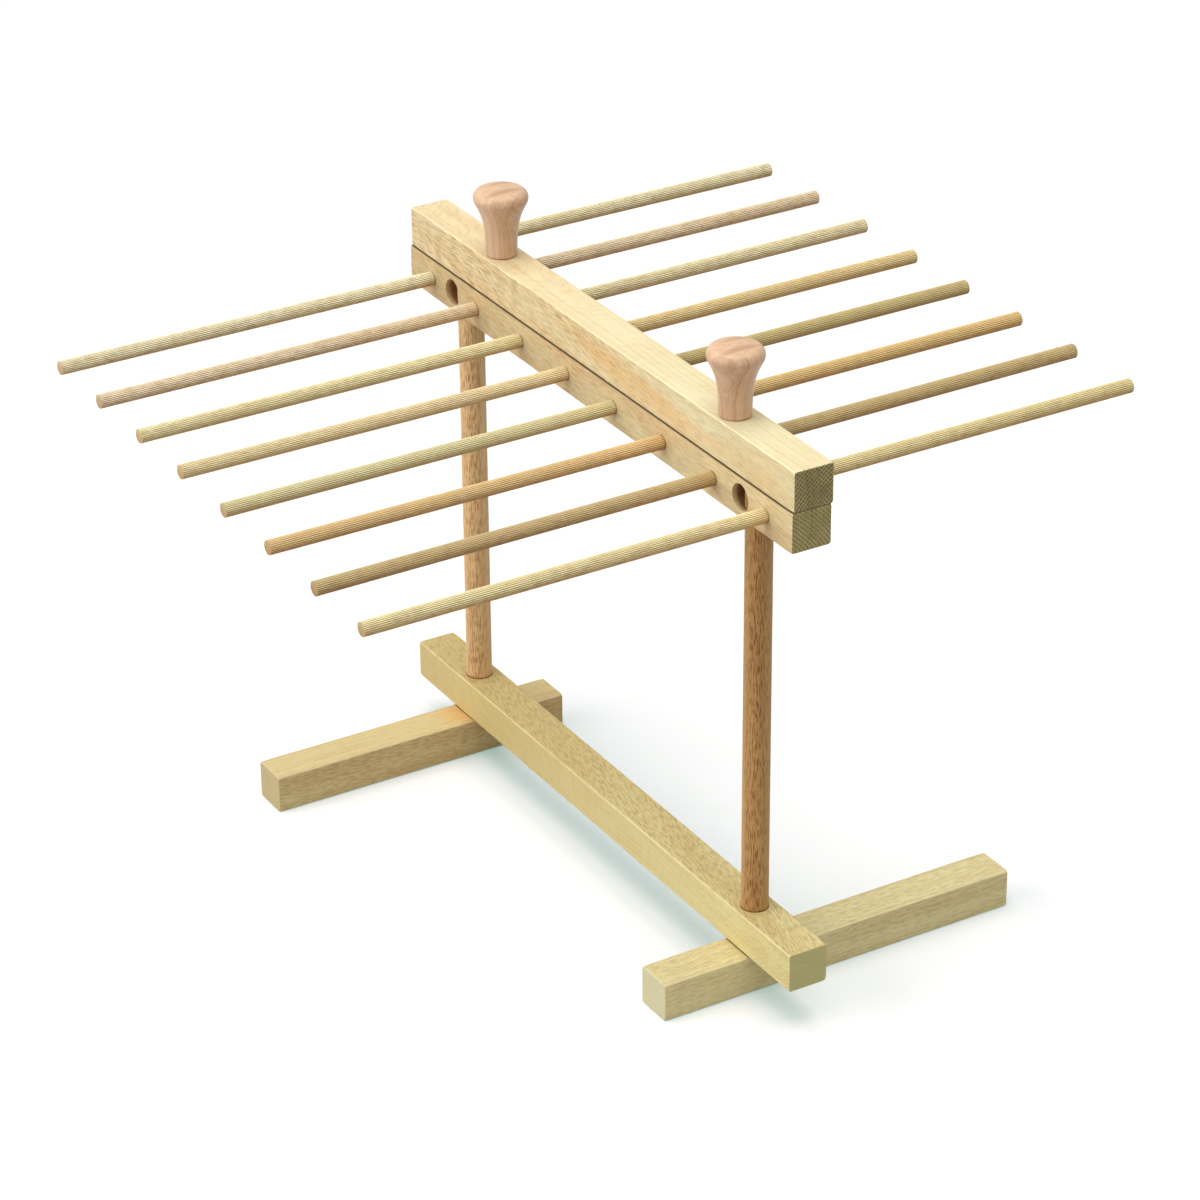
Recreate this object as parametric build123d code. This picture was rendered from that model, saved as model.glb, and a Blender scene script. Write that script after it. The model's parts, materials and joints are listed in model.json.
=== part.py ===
from build123d import *
import os

# Wooden rack for drying fresh pasta, in millimetres.
# +X points to the short upper rods, +Y runs along the rail to its far end, +Z is up.
# The origin is on the floor, under the middle of the rack's outline seen from above.

# Square-edged bar stock, the same for the rail, the feet and both head bars
bar_width = 30.0
bar_height = 29.0
edge_radius = 1.5
end_easing = 0.6

# Head bars, and the rail that runs on past them at each end
head_length = 505.0
rail_overhang = 5.0

# Posts: their axes lie one margin inside the rail's ends, and some wood is left beyond each socket
post_diameter = 19.0
post_margin = 66.5
post_clear_height = 300.0
rail_floor_thickness = 9.0
lower_bar_cap_thickness = 6.0
post_tip_chamfer = 0.8

# Feet: folded under the rail, their long arms share the room between the posts but for a small gap
folded_feet_gap = 2.0
near_long_arm_share = 0.532
near_foot_short_arm = 81.0
far_foot_short_arm = 63.0

# Fluted rods, long ones in the lower bar and short ones in the upper bar; wood is left behind each socket
rod_diameter = 10.2
rod_count = 8
lower_rod_reach = 292.0
upper_rod_reach = 247.0
rod_socket_wall = 0.9
flute_count = 24
flute_radius = 0.45

# Margins from the head's ends to the first and the last rod of each row
lower_row_margin = 32.0
upper_row_near_margin = 18.0
upper_row_far_margin = 46.0

# Turned knobs, each with a shank that pins the upper bar to the lower bar
knob_near_margin = 91.5
knob_far_margin = 108.0
knob_height = 50.4
knob_base_radius = 11.1
knob_base_round = 1.4
knob_waist_height = 19.0
knob_waist_radius = 12.0
knob_flare_height = 32.0
knob_flare_radius = 15.0
knob_rim_height = 42.9
knob_rim_radius = 19.5
knob_shoulder_height = 48.9
knob_shoulder_radius = 14.6
shank_diameter = 8.0
shank_pin_depth = 8.0

# How far the upper bar sits off the lower bar's middle
upper_bar_offset = 1.2

# Pivot screws, washers and their seats in the feet
screw_diameter = 6.0
screw_post_depth = 18.0
screw_head_diameter = 12.0
screw_head_height = 4.0
screw_slot_width = 1.4
screw_slot_depth = 1.6
head_washer_diameter = 15.0
head_washer_thickness = 1.2
counterbore_diameter = 16.0
counterbore_depth = 9.0
spacer_diameter = 24.0
spacer_thickness = 0.8

# Radial clearances: pieces that slide or turn, pieces that are glued or driven in
sliding_clearance = 0.1
glued_clearance = 0.05

# Every cut starts this far outside the surface that it enters
overrun = 1.0

# Depths of the sockets
post_rail_depth = bar_height - rail_floor_thickness
post_head_depth = bar_height - lower_bar_cap_thickness
rod_socket_depth = bar_width / 2 - shank_diameter / 2 - sliding_clearance - rod_socket_wall

# Levels above the floor
foot_top = bar_height
rail_bottom = foot_top + spacer_thickness
rail_top = rail_bottom + bar_height
lower_bottom = rail_top + post_clear_height
lower_top = lower_bottom + bar_height
upper_top = lower_top + bar_height
lower_rod_level = lower_bottom + bar_height / 2
upper_rod_level = lower_top + bar_height / 2

# Plan: the posts' plane lies off the origin because the upper rods are shorter
lower_face = bar_width / 2
upper_face = bar_width / 2 + upper_bar_offset
plane_x = (lower_rod_reach + lower_face - upper_rod_reach - upper_face) / 2
head_end = head_length / 2
rail_length = head_length + 2 * rail_overhang
post_y = rail_length / 2 - post_margin
knob_near_y = knob_near_margin - head_end
knob_far_y = head_end - knob_far_margin

# Long arms of the feet
folded_room = 2 * post_y - folded_feet_gap
near_foot_long_arm = near_long_arm_share * folded_room
far_foot_long_arm = folded_room - near_foot_long_arm

ON_BASE = (Align.CENTER, Align.CENTER, Align.MIN)


def row(near_margin, far_margin):
    """Places of the rods along a head bar, evenly spaced between its two margins."""
    pitch = (head_length - near_margin - far_margin) / (rod_count - 1)
    return [near_margin - head_end + number * pitch for number in range(rod_count)]


lower_row = row(lower_row_margin, lower_row_margin)
upper_row = row(upper_row_near_margin, upper_row_far_margin)


def stock_bar(x_size, y_size):
    """A bar of the stock lying flat, its long edges rounded over and its sawn ends just eased."""
    bar = Box(x_size, y_size, bar_height, align=ON_BASE)
    run = Axis.Y if y_size > x_size else Axis.X
    bar = fillet(bar.edges().filter_by(run), edge_radius)
    ends = bar.faces().sort_by(run)
    end_edges = ends[0].edges() + ends[-1].edges()
    return chamfer(end_edges, end_easing)


def drill(mouth, direction, radius, depth):
    """The round space of a hole that enters at the point mouth and runs along direction."""
    start = Plane(origin=mouth, z_dir=direction)
    return start * Pos(0, 0, -overrun) * Cylinder(radius, depth + overrun, align=ON_BASE)


def rail():
    """Bottom rail: a blind socket for each post from above, a screw hole through the wood left below."""
    bar = Pos(0, 0, rail_bottom) * stock_bar(bar_width, rail_length)
    for y in (-post_y, post_y):
        bar -= drill((0, y, rail_top), (0, 0, -1), post_diameter / 2 + glued_clearance, post_rail_depth)
        bar -= drill((0, y, rail_bottom), (0, 0, 1), screw_diameter / 2 + glued_clearance, bar_height)
    return bar


def post(y):
    """Round post from the bottom of its rail socket to the top of the lower bar's socket."""
    bottom = rail_top - post_rail_depth
    length = post_rail_depth + post_clear_height + post_head_depth
    body = Cylinder(post_diameter / 2, length, align=ON_BASE)
    body = chamfer(body.edges(), post_tip_chamfer)
    body = Pos(0, y, bottom) * body
    return body - drill((0, y, bottom), (0, 0, 1), screw_diameter / 2 + glued_clearance, screw_post_depth)


def foot(y, long_arm, short_arm, long_side):
    """Foot under the rail, bored off its middle for the pivot screw, its head and its washer."""
    length = long_arm + short_arm
    middle = long_side * (long_arm - short_arm) / 2
    bar = Pos(middle, y, 0) * stock_bar(length, bar_width)
    bar -= drill((0, y, 0), (0, 0, 1), screw_diameter / 2 + sliding_clearance, bar_height + overrun)
    return bar - drill((0, y, 0), (0, 0, 1), counterbore_diameter / 2, counterbore_depth)


def pivot_screw(y):
    """Slotted screw that holds the foot, goes through the rail and ends in the foot of the post."""
    head_bottom = counterbore_depth - head_washer_thickness - screw_head_height
    shank_top = rail_top - post_rail_depth + screw_post_depth
    shank_length = shank_top - head_bottom
    head = Cylinder(screw_head_diameter / 2, screw_head_height, align=ON_BASE)
    slot = Pos(0, 0, -overrun) * Box(
        screw_head_diameter + overrun, screw_slot_width, screw_slot_depth + overrun, align=ON_BASE
    )
    shank = Cylinder(screw_diameter / 2, shank_length, align=ON_BASE)
    return Pos(0, y, head_bottom) * ((head + shank) - slot)


def washer(y, diameter, thickness, bottom):
    """Flat washer round the pivot screw."""
    ring = Cylinder(diameter / 2, thickness, align=ON_BASE)
    ring -= Cylinder(screw_diameter / 2 + sliding_clearance, thickness, align=ON_BASE)
    return Pos(0, y, bottom) * ring


def lower_bar():
    """Lower head bar: post sockets from below, side sockets that cross them, rod and shank sockets."""
    bar = Pos(0, 0, lower_bottom) * stock_bar(bar_width, head_length)
    socket_radius = post_diameter / 2 + sliding_clearance
    side_depth = lower_face + socket_radius
    for y in (-post_y, post_y):
        bar -= drill((0, y, lower_bottom), (0, 0, 1), socket_radius, post_head_depth)
        bar -= drill((-lower_face, y, lower_rod_level), (1, 0, 0), socket_radius, side_depth)
    for y in (knob_near_y, knob_far_y):
        bar -= drill((0, y, lower_top), (0, 0, -1), shank_diameter / 2 + sliding_clearance, shank_pin_depth)
    for y in lower_row:
        bar -= drill((-lower_face, y, lower_rod_level), (1, 0, 0), rod_diameter / 2 + glued_clearance,
                     rod_socket_depth)
    return bar


def upper_bar():
    """Upper head bar: rod sockets in its other side and a hole right through under each knob."""
    bar = Pos(upper_bar_offset, 0, lower_top) * stock_bar(bar_width, head_length)
    for y in (knob_near_y, knob_far_y):
        bar -= drill((0, y, upper_top), (0, 0, -1), shank_diameter / 2 + sliding_clearance,
                     bar_height + overrun)
    for y in upper_row:
        bar -= drill((upper_face, y, upper_rod_level), (-1, 0, 0), rod_diameter / 2 + glued_clearance,
                     rod_socket_depth)
    return bar


def rod(reach, mouth, direction):
    """Fluted rod that stands out of a bar by its reach, with its inner end on the socket's bottom."""
    section = Circle(rod_diameter / 2)
    section -= PolarLocations(rod_diameter / 2, flute_count) * Circle(flute_radius)
    length = rod_socket_depth + reach
    return Plane(origin=mouth, z_dir=direction) * Pos(0, 0, -rod_socket_depth) * extrude(section, length)


def knob(y):
    """Turned knob with a narrow foot, a flared neck, a rounded rim, a domed crown and a plain shank."""
    axis_foot = (0, 0)
    base_edge = (knob_base_radius - knob_base_round, 0)
    base_round_top = (knob_base_radius, knob_base_round)
    rim = (knob_rim_radius, knob_rim_height)
    shoulder = (knob_shoulder_radius, knob_shoulder_height)
    crown = (0, knob_height)
    base = Line(axis_foot, base_edge)
    base_round = RadiusArc(base_edge, base_round_top, -knob_base_round)
    neck = Spline(
        base_round_top,
        (knob_waist_radius, knob_waist_height),
        (knob_flare_radius, knob_flare_height),
        rim,
        tangents=[(0, 1), (0, 1)],
    )
    rim_round = TangentArc(rim, shoulder, tangent=(0, 1))
    top = TangentArc(crown, shoulder, tangent=(1, 0))
    close = Line(crown, axis_foot)
    outline = make_face(base + base_round + neck + rim_round + top + close)
    body = revolve(Plane.XZ * outline, Axis.Z)
    shank_length = bar_height + shank_pin_depth
    shank = Pos(0, 0, -shank_length) * Cylinder(shank_diameter / 2, shank_length, align=ON_BASE)
    return Pos(0, y, upper_top) * (body + shank)


def pieces():
    """Every piece of the rack by its name, built about the posts' plane."""
    head_washer_bottom = counterbore_depth - head_washer_thickness
    made = {
        "rail": rail(),
        "foot_near": foot(-post_y, near_foot_long_arm, near_foot_short_arm, 1),
        "foot_far": foot(post_y, far_foot_long_arm, far_foot_short_arm, -1),
        "lower_bar": lower_bar(),
        "upper_bar": upper_bar(),
        "knob_near": knob(knob_near_y),
        "knob_far": knob(knob_far_y),
    }
    for end, y in (("near", -post_y), ("far", post_y)):
        made["post_" + end] = post(y)
        made["pivot_screw_" + end] = pivot_screw(y)
        made["head_washer_" + end] = washer(y, head_washer_diameter, head_washer_thickness, head_washer_bottom)
        made["spacer_washer_" + end] = washer(y, spacer_diameter, spacer_thickness, foot_top)
    for number, y in enumerate(lower_row, start=1):
        made[f"lower_rod_{number}"] = rod(lower_rod_reach, (-lower_face, y, lower_rod_level), (-1, 0, 0))
    for number, y in enumerate(upper_row, start=1):
        made[f"upper_rod_{number}"] = rod(upper_rod_reach, (upper_face, y, upper_rod_level), (1, 0, 0))
    return made


os.makedirs("parts", exist_ok=True)
for name, shape in pieces().items():
    export_step(Pos(plane_x, 0, 0) * shape, f"parts/{name}.step")
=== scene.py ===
import json
import math

import bmesh
import bpy
from mathutils import Matrix, Vector, noise

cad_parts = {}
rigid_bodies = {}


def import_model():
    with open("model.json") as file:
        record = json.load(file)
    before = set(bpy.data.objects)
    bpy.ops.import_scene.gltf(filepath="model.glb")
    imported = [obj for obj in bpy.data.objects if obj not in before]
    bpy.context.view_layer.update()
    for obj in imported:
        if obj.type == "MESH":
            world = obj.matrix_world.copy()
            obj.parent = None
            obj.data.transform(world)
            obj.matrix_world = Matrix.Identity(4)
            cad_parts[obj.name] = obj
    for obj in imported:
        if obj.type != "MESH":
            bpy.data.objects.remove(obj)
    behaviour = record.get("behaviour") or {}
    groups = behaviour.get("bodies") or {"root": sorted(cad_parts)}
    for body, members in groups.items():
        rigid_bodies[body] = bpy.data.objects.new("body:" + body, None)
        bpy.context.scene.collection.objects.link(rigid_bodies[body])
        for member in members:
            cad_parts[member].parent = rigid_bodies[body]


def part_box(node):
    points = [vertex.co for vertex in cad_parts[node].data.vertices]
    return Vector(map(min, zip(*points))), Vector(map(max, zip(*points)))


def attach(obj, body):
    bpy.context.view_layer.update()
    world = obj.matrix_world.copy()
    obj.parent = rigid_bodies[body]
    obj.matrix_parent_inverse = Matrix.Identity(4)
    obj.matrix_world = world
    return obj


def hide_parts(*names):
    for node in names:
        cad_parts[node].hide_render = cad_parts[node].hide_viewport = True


for leftover in list(bpy.data.objects):
    bpy.data.objects.remove(leftover)
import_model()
bpy.context.view_layer.update()


# Rail
# The bar of planed beech that lies along the bottom. Both posts are glued into sockets in its top, and a
# pivot screw comes up through the wood that is left under each of them.
MM = 0.001
X, Y, Z = Vector((1, 0, 0)), Vector((0, 1, 0)), Vector((0, 0, 1))


class Reading:
    """One output in a node tree; Python's operators on it add Math nodes."""

    def __init__(self, recipe, socket):
        self.recipe = recipe
        self.socket = socket

    def step(self, operation, *others):
        values = dict(enumerate((self, *others)))
        return self.recipe.node("ShaderNodeMath", {"operation": operation}, values)[0]

    def held(self):
        """The value, held between 0 and 1."""
        return self.step("MAXIMUM", 0.0).step("MINIMUM", 1.0)

    def __add__(self, other):
        return self.step("ADD", other)

    def __sub__(self, other):
        return self.step("SUBTRACT", other)

    def __rsub__(self, other):
        return self.recipe.node("ShaderNodeMath", {"operation": "SUBTRACT"}, {0: other, 1: self})[0]

    def __mul__(self, other):
        return self.step("MULTIPLY", other)

    def __truediv__(self, other):
        return self.step("DIVIDE", other)

    def __pow__(self, other):
        return self.step("POWER", other)

    __radd__ = __add__
    __rmul__ = __mul__


class Recipe:
    """A node tree that is being put together, for a finish or for a shape."""

    def __init__(self, tree):
        self.tree = tree

    def node(self, kind, settings=None, sockets=None):
        """Adds a node: its settings first, then the values or links of its sockets. Gives its outputs."""
        made = self.tree.nodes.new(kind)
        for setting, value in (settings or {}).items():
            if setting == "stops":
                stops = made.color_ramp.elements
                while len(stops) < len(value):
                    stops.new(1)
                for stop, (place, colour) in zip(stops, value):
                    stop.position = place
                    stop.color = colour
            else:
                setattr(made, setting, value)
        for socket, value in (sockets or {}).items():
            if isinstance(value, Reading):
                self.tree.links.new(value.socket, made.inputs[socket])
            else:
                made.inputs[socket].default_value = value
        return [Reading(self, output) for output in made.outputs]

    def rise(self, value, low, high):
        """0 below low, 1 above high, and a smooth rise between them."""
        limits = {0: value, 1: low, 2: high}
        return self.node("ShaderNodeMapRange", {"interpolation_type": "SMOOTHSTEP"}, limits)[0]

    def blend(self, share, first, second, how="MIX"):
        """A share of the second colour over the first."""
        kind = {"data_type": "RGBA", "blend_type": how, "clamp_factor": True}
        return self.node("ShaderNodeMix", kind, {0: share, 6: first, 7: second})[2]

    def vector(self, operation, *values):
        """A Vector Math node: its vector for most operations, its value for lengths and dot products."""
        outputs = self.node("ShaderNodeVectorMath", {"operation": operation}, dict(enumerate(values)))
        return outputs[1 if operation in ("LENGTH", "DOT_PRODUCT", "DISTANCE") else 0]

    def join(self, x, y, z):
        return self.node("ShaderNodeCombineXYZ", None, {0: x, 1: y, 2: z})[0]

    def split(self, vector):
        return self.node("ShaderNodeSeparateXYZ", None, {0: vector})

    def cloud(self, place, detail=2.0, scale=1.0):
        """Soft noise from 0 to 1 about every millimetre of place, and its three-part colour."""
        sockets = {"Vector": place, "Scale": scale, "Detail": detail}
        return self.node("ShaderNodeTexNoise", {"noise_dimensions": "3D"}, sockets)


def tint(red, green, blue):
    """A paint-chart colour, each part from 0 to 255, as the linear colour that a shader takes."""
    parts = [part / 255 for part in (red, green, blue)]
    linear = [part / 12.92 if part <= 0.04045 else ((part + 0.055) / 1.055) ** 2.4 for part in parts]
    return (*linear, 1.0)


def beech(name, middle, grain, pith, near, far, deep, slope=(0, 0), flecks=(1.0, 1.0), size=None, seam=0,
          foot=None, crossing=None, end_grain_and_shade=(200, 170, 120), end_share=0.3, sawn=(0.0, 0.0), bands=(),
          stains=None, sanded=0.0, ray=(14.0, 1.35), ray_shade=(168, 120, 66)):
    """Unvarnished beech, cut from one log whose pith runs beside the piece. Lengths are in millimetres.

    middle, grain, pith: the piece's middle, its grain's axis, and the pith's place from there across it.
    near, far, deep: the pale wood's colour towards the two ends, and the colour of its darker rings.
    slope: how the grain drifts off the piece's line, sideways and up.
    flecks, ray, ray_shade: the rays' strength towards the ends, their spacing along and across, their colour.
    size: a square bar's length, width and height.
    seam: 1 or -1 for painted shade on a bar's upper or lower face, where it meets the other bar, and along
    that joint.
    foot: how far along its grain a turned piece meets a bar, where a ring of painted shade darkens it.
    crossing: how far along a bar another one lies across its top, where that top gets painted shade.
    end_grain_and_shade, end_share, sawn: the ends' colour and its share, and how much the saw's two sets of
    marks show.
    bands: streaks of coloured heartwood, each its place, its size, its colour and its share.
    stains: each rod's own colour, for a row of rods with painted shade underneath, by their bar and in the
    flutes.
    sanded: how much smoother than planed the piece is.
    """
    ring_width, ring_drift, grain_bend = 2.4, 10, 7
    saw_pitch, saw_aside, saw_below = 2.4, 88, 70
    half_rack = 230
    root_length = 18.0
    hole_dark_from, hole_dark_to = 0.5, 5.5
    material = bpy.data.materials.new(name)
    material.use_nodes = True
    material.node_tree.nodes.clear()
    wood = Recipe(material.node_tree)

    turns = {"X": (0, 0, 0), "Y": (0, 0, -math.pi / 2), "Z": (0, math.pi / 2, 0)}
    turn = turns[grain]
    per_mm = 1 / MM
    shift = Matrix.Rotation(turn[1], 3, "Y") @ Matrix.Rotation(turn[2], 3, "Z") @ (Vector(middle) * -per_mm)
    seen = wood.node("ShaderNodeTexCoord")
    into_log = {1: shift, 2: turn, 3: (per_mm,) * 3}
    place = wood.node("ShaderNodeMapping", {"vector_type": "POINT"}, {0: seen[3], **into_log})[0]
    facing = wood.node("ShaderNodeMapping", {"vector_type": "POINT"}, {0: seen[1], 2: turn})[0]
    facing_along, facing_side, facing_rise = wood.split(facing)
    along, side, rise = wood.split(place)
    if size:
        depths = [whole / 2 - part.step("ABSOLUTE") for whole, part in zip(size, (along, side, rise))]
        depth = depths[0].step("MINIMUM", depths[1]).step("MINIMUM", depths[2])
        from_seam = size[2] / 2 - rise * seam
    side, rise = side - along * slope[0], rise - along * slope[1]
    place = wood.join(along, side, rise)

    # The log's rings and rays bend a little along the piece
    bend = wood.cloud(wood.vector("MULTIPLY", place, (0.011, 0.03, 0.03)), detail=1.0)[1]
    bend_side, bend_rise, bend_along = wood.split(bend)
    side_off = side - pith[0] + (bend_side - 0.5) * grain_bend
    rise_off = rise - pith[1] + (bend_rise - 0.5) * grain_bend
    radius = (side_off ** 2 + rise_off ** 2) ** 0.5
    round_log = rise_off.step("ARCTAN2", side_off) * math.hypot(*pith)

    # Growth rings: each has its own tone and ends in a thin darker line
    uneven = wood.cloud(wood.join(radius * 0.12, 0.0, 5.0), detail=1.0)[0] - 0.5
    ring = (radius + uneven * ring_drift) / ring_width
    ring_edge = ring.step("FRACT") ** 6
    ring_tone = wood.cloud(wood.join(ring * 0.9, along * 0.004, 3.7), detail=1.0)[0]
    cloudy = wood.cloud(wood.vector("MULTIPLY", place, (0.014, 0.09, 0.09)), detail=2.0)[0]
    fibre = wood.cloud(wood.vector("MULTIPLY", place, (0.07, 2.4, 2.4)), detail=3.0)[0]

    # Rays: short dark dashes on faces along the rings, wider pale flakes on faces across them
    outward = (facing_side * side_off + facing_rise * rise_off) / radius
    on_rings = outward * outward
    wave = (bend_along - 0.5) * 3
    spot = wood.join(along / ray[0], round_log / ray[1] + wave, 0.0)
    cells = wood.node("ShaderNodeTexVoronoi", {"feature": "F1", "voronoi_dimensions": "2D"},
                      {"Vector": spot, "Scale": 1.0})
    kept_cell = wood.rise(wood.split(cells[1])[0], 0.2, 0.3)
    dashes = (1 - wood.rise(cells[0], 0.08, 0.36)) * kept_cell
    beside = wood.join(along * 1.8 / ray[0], round_log * 1.3 / ray[1] + wave, 21.0)
    streaks = wood.cloud(beside, detail=1.0)[0]
    dashes = dashes.step("MAXIMUM", wood.rise(streaks, 0.5, 0.64) * 0.75)
    patchy = wood.rise(wood.cloud(wood.vector("MULTIPLY", place, (0.018, 0.07, 0.07)))[0], 0.34, 0.62)
    length_share = wood.rise(along, -half_rack, half_rack)
    fleck_share = flecks[0] + length_share * (flecks[1] - flecks[0])
    dash_share = dashes * (0.12 + on_rings * 0.88) * (0.8 + patchy * 0.2) * fleck_share

    # Colour: pale wood that drifts from end to end, deeper rings, heartwood, rays
    tone = 0.12 + (cloudy - 0.5) * 0.9 + (ring_tone - 0.5) * 1.0 + (fibre - 0.5) * 1.1
    tone = (tone + ring_edge * (0.55 - on_rings * 0.3) + on_rings * 0.22).held()
    colour = wood.blend(length_share, near, far)
    if stains:
        row_place = wood.node("ShaderNodeAttribute", {"attribute_name": "rod"})[2]
        share = (row_place + 0.5) / len(stains)
        steps = [(number / len(stains), stain) for number, stain in enumerate(stains)]
        colour = wood.node("ShaderNodeValToRGB", {"stops": steps}, {0: share})[0]
        material.node_tree.nodes[-1].color_ramp.interpolation = "CONSTANT"
        tone = tone * 0.5
        groove = wood.node("ShaderNodeAttribute", {"attribute_name": "groove"})[2]
        # Painted shade on the rods: browner by their bar, mostly underneath, darker in the flutes and on the
        # lower half
        root = 1 - wood.rise((along - foot).step("ABSOLUTE"), 1.0, root_length)
        underside = 1 - wood.rise(rise, -4.2, 2.0)
        colour = wood.blend(root * (0.1 + underside * 0.35), colour, tint(216, 156, 84))
        colour = wood.blend(wood.rise(groove, 0.35, 0.75) * 0.85, colour, tint(132, 86, 34))
        colour = wood.blend(underside * 0.8, colour, tint(196, 150, 82), "MULTIPLY")
    colour = wood.blend(tone, colour, deep)
    for band_place, band_size, band_colour, band_share in bands:
        from_band = wood.vector("DIVIDE", wood.vector("SUBTRACT", place, band_place), band_size)
        reach = wood.vector("LENGTH", from_band) + (cloudy - 0.5) * 0.9 + (fibre - 0.5) * 0.5
        colour = wood.blend((1 - wood.rise(reach, 0.35, 1.15)) * band_share, colour, band_colour)
    colour = wood.blend(dash_share * 0.9, colour, tint(*ray_shade), "MULTIPLY")

    # Square bars have paler long edges: a painted highlight along their rounding, and wear where hands rub
    # them
    if size:
        edge_wear_and_highlight = facing_side * facing_side * facing_rise * facing_rise * 4
        colour = wood.blend(wood.rise(edge_wear_and_highlight, 0.2, 0.95) * 0.25, colour, tint(255, 246, 208))

    # End grain: ring arcs, thin pale rays, and the saw's two crossing sets of curved marks
    end = wood.rise(facing_along.step("ABSOLUTE"), 0.6, 0.9)
    if size:
        end = end * (1 - wood.rise(depth, 0.4, 1.2))
    arcs = ring_edge * 0.5 + (ring_tone - 0.5) * 0.8
    thin_ray = wood.cloud(wood.join(round_log * 1.1, radius * 0.06, 9.0), detail=2.0)[0]
    speck = wood.cloud(wood.vector("MULTIPLY", place, (3.0, 3.0, 3.0)), detail=1.0)[0]
    end_tone = (end_share + arcs * 0.25 + (speck - 0.5) * 0.3).held()
    # the end grain's colour, which on the head bars is darkened further as painted shade
    end_colour = wood.blend(end_tone, colour, tint(*end_grain_and_shade))
    thin_share = wood.rise(thin_ray, 0.52, 0.6) * 0.3
    end_colour = wood.blend(thin_share, end_colour, wood.blend(0.6, end_colour, deep))
    marks = None
    for saw_side in (-1, 1):
        from_saw = wood.join(0.0, side - saw_side * saw_aside, rise + saw_below)
        line = ((wood.vector("LENGTH", from_saw) + (speck - 0.5) * 0.3) / saw_pitch).step("PINGPONG", 0.5)
        strength = sawn[(saw_side + 1) // 2]
        mark = wood.rise(line, 0.33, 0.46) * strength * (0.5 + patchy * 0.5)
        marks = mark if marks is None else marks.step("MAXIMUM", mark)
    end_colour = wood.blend(marks, end_colour, tint(232, 222, 160))
    colour = wood.blend(end, colour, end_colour)

    # Painted shade: dark walls in a bar's holes, which ring their mouths dark, the faces where two bars meet,
    # a foot's top under a bar that crosses it, and a ring round a turned piece where it meets a bar
    if size:
        hole_shade = wood.rise(depth, hole_dark_from, hole_dark_to) * 0.9
        colour = wood.blend(hole_shade, colour, tint(110, 62, 36))
    if seam:
        # painted shade over the face where the bars meet and just past its edges, for the dark joint line
        seam_shade = (1 - wood.rise(from_seam, 0.05, 0.6)) * 0.9
        colour = wood.blend(seam_shade, colour, tint(70, 42, 6))
    if crossing is not None:
        # painted shade on the top where another bar lies across it
        under = size[1] / 2 - (along - crossing).step("ABSOLUTE")
        crossing_shade = wood.rise(under, 0.3, 1.3) * (1 - wood.rise(size[2] / 2 - rise, 0.2, 0.5))
        colour = wood.blend(crossing_shade * 0.85, colour, tint(88, 50, 20))
    if foot is not None:
        # a ring of painted shade where a turned piece meets a bar
        from_foot = (along - foot).step("ABSOLUTE")
        foot_shade = (1 - wood.rise(from_foot, 0.3, 1.2)) * (0.4 if stains else 0.75)
        colour = wood.blend(foot_shade, colour, tint(96, 52, 22))

    # Finish: dry, a little rough along the fibres, with the planer's faint waves on the bars
    planed = (wood.cloud(wood.vector("MULTIPLY", place, (0.55, 0.05, 0.05)), detail=0.0)[0] - 0.5) * 0.5
    side_height = 0.5 + (fibre - 0.5) * 0.45 - dash_share * 0.6 + planed * (1.0 if size else 0.0)
    end_height = 0.5 + (speck - 0.5) * 0.5 + marks * 0.5
    height = side_height + (end_height - side_height) * end
    bump_sockets = {"Strength": 0.4, "Distance": 0.12 * MM, "Height": height}
    bump = wood.node("ShaderNodeBump", None, bump_sockets)[0]
    roughness = 0.56 - sanded + (fibre - 0.5) * 0.16 + dash_share * 0.1 + end * 0.14 * (1 - sanded)
    surface = {
        "Base Color": colour,
        "Roughness": roughness,
        "Normal": bump,
        "Specular IOR Level": 0.4 + sanded,
    }
    shader = wood.node("ShaderNodeBsdfPrincipled", None, surface)[0]
    wood.node("ShaderNodeOutputMaterial", None, {0: shader})
    return material


def turned(shape, profile, foot, axis, segments=64):
    """Adds a turned form to shape. profile is (radius, height) from the foot along the axis, axis to axis."""
    side = axis.orthogonal().normalized()
    front = axis.cross(side)
    turn = 2 * math.pi / segments
    rings = []
    for radius, height in profile:
        centre = foot + axis * height
        spokes = [side * math.cos(turn * spoke) + front * math.sin(turn * spoke) for spoke in range(segments)]
        spokes = spokes if radius > 0 else [Vector()]
        rings.append([shape.verts.new(centre + spoke * radius) for spoke in spokes])
    for low, high in zip(rings, rings[1:]):
        for spoke in range(segments):
            after = (spoke + 1) % segments
            ends = [low[spoke % len(low)], low[after % len(low)]]
            ends += [high[after % len(high)], high[spoke % len(high)]]
            corners = [corner for number, corner in enumerate(ends) if corner not in ends[:number]]
            if len(corners) > 2:
                shape.faces.new(corners)


def as_piece(shape, name):
    """Turns the worked shape into an object at the origin, its faces outwards."""
    bmesh.ops.recalc_face_normals(shape, faces=shape.faces)
    mesh = bpy.data.meshes.new(name)
    shape.to_mesh(mesh)
    shape.free()
    piece = bpy.data.objects.new(name, mesh)
    bpy.context.scene.collection.objects.link(piece)
    return piece


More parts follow.
